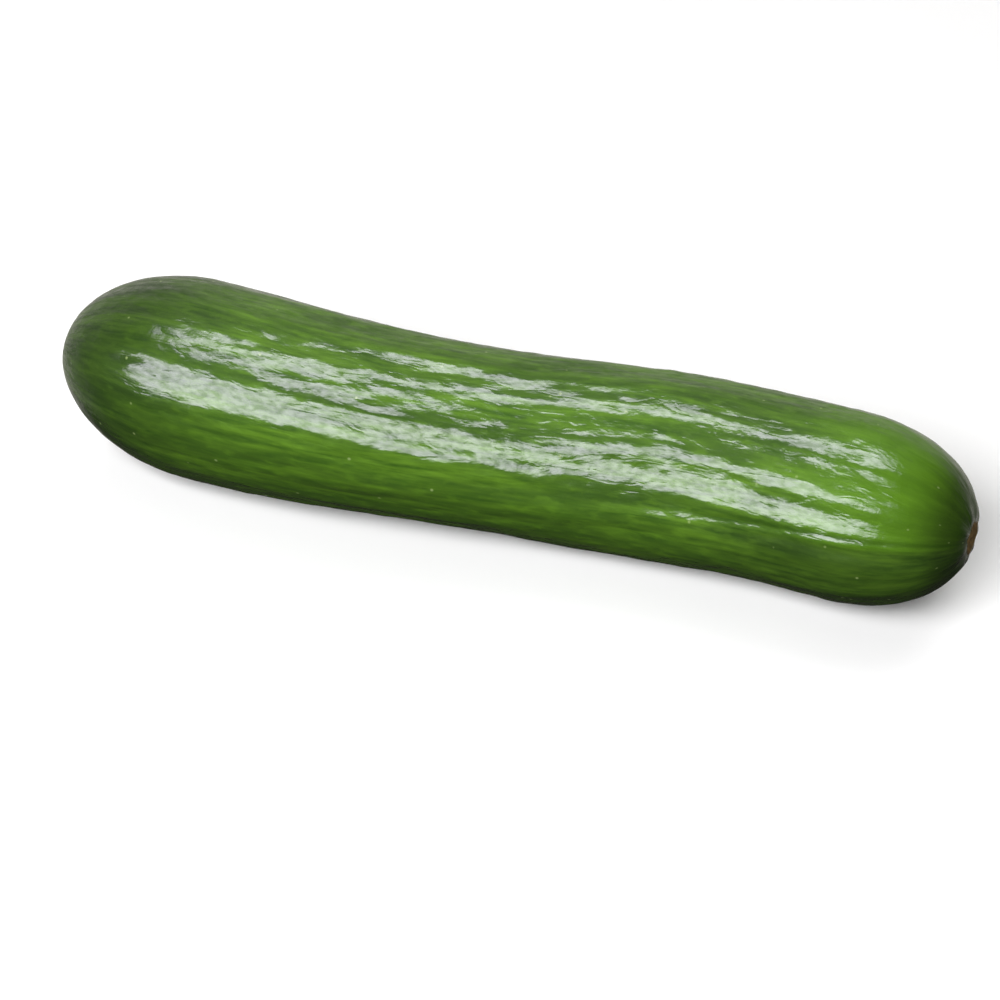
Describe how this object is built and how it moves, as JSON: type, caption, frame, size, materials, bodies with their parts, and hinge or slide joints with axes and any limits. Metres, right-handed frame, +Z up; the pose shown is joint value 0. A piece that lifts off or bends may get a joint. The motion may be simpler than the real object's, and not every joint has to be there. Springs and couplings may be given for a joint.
{
  "type": "cucumber",
  "caption": "Whole mini cucumber lying on its side, with soft lengthwise ribs, a cut stem in a shallow dimple and a small blossom scar.",
  "frame": {"origin": "on the surface that the cucumber lies on, under the middle of its box", "axes": "+X along the fruit from the stem end to the blossom end, +Y level across it, +Z up from the surface that it lies on"},
  "size_m": [0.1646, 0.0388, 0.035],
  "materials": {
    "skin": "waxy, moist-looking gloss over mid green skin with fine lengthwise streaks in lighter and darker green, tiny pale specks, a dry pale cut stem and a brown corky blossom scar"
  },
  "bodies": {
    "root": {"cucumber": "skin"}
  },
  "joints": []
}
